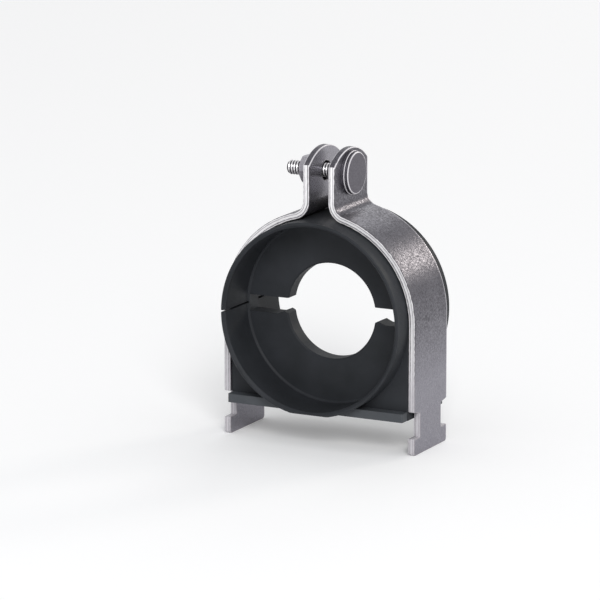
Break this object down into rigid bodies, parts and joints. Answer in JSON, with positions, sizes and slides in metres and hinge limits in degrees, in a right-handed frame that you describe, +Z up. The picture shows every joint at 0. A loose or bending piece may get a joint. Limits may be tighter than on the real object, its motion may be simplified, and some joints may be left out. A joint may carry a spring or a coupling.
{
  "type": "insulated pipe clamp",
  "caption": "Two-strap steel clamp for insulated pipe, with a moulded coupling, held by a bolt, washer and nut.",
  "frame": {"origin": "on the axis of the saddle bore, midway along the straps' width", "axes": "X across the clamp towards the strap with the bolt's head, Y along the bore, +Z up towards the ears"},
  "size_m": [0.0906, 0.0508, 0.1269],
  "materials": {
    "moulding": "matt moulded",
    "strap_steel": "satin dark plated",
    "fastener_steel": "satin plated"
  },
  "bodies": {
    "clamp": {"coupling": "moulding", "strap_right": "strap_steel", "strap_left": "strap_steel", "bolt": "fastener_steel"},
    "nut_carrier": {"washer": "fastener_steel"},
    "nut_body": {"nut": "fastener_steel"}
  },
  "joints": [
    {"name": "nut_travel", "type": "slide", "parent": "clamp", "child": "nut_carrier", "axis": [-1, 0, 0], "range_m": [0, 0.01143]},
    {"name": "nut_spin", "type": "hinge", "parent": "nut_carrier", "child": "nut_body", "pos_m": [-0.01187, 0, 0.06014], "axis": [-1, 0, 0], "range_deg": [0, 3240]}
  ],
  "couplings": [
    {"joint": "nut_travel", "follows": "nut_spin", "m_per_rad": 0.00020213}
  ]
}
